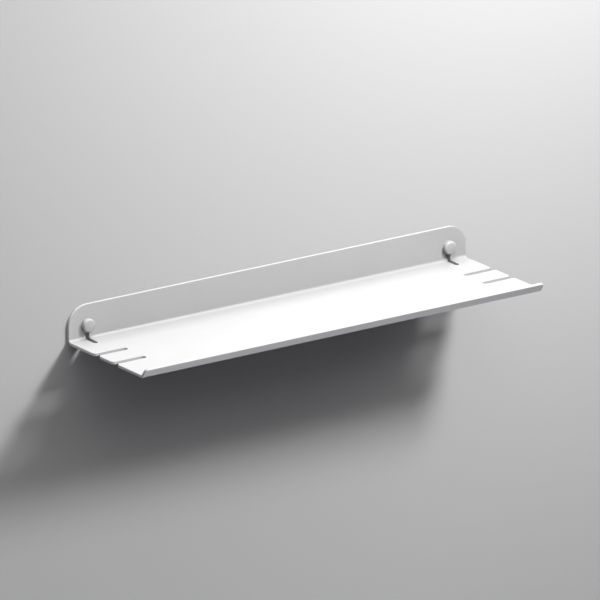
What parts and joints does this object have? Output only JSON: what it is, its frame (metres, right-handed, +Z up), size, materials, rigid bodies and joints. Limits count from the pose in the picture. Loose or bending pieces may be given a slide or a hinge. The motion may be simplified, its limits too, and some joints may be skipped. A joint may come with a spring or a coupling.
{
  "type": "wall shelf",
  "caption": "Low wall shelf folded from white powder-coated sheet steel, with an upright back plate, slots in the tray ends, an outward-leaning front lip and capped wall studs.",
  "frame": {"origin": "on the wall's surface, midway between the two wall studs", "axes": "+X to the right along the wall as seen from the room, +Y into the wall, +Z up"},
  "size_m": [0.5, 0.1748, 0.04],
  "materials": {
    "powder_coat_white": "satin powder coat",
    "cap_plastic": "satin moulded plastic",
    "zinc_plated_steel": "bright zinc plating",
    "plug_nylon": "moulded nylon"
  },
  "bodies": {
    "shelf": {"shelf_panel": "powder_coat_white", "plate_washer_left": "zinc_plated_steel", "plate_washer_right": "zinc_plated_steel", "hex_nut_left": "zinc_plated_steel", "hex_nut_right": "zinc_plated_steel", "hanger_stud_left": "zinc_plated_steel", "hanger_stud_right": "zinc_plated_steel", "wall_plug_left": "plug_nylon", "wall_plug_right": "plug_nylon"},
    "cap_left": {"snap_cap_left": "cap_plastic"},
    "cap_right": {"snap_cap_right": "cap_plastic"}
  },
  "joints": [
    {"name": "cap_left_pull", "type": "slide", "parent": "shelf", "child": "cap_left", "axis": [0, -1, 0], "range_m": [0, 0.012]},
    {"name": "cap_right_pull", "type": "slide", "parent": "shelf", "child": "cap_right", "axis": [0, -1, 0], "range_m": [0, 0.012]}
  ]
}
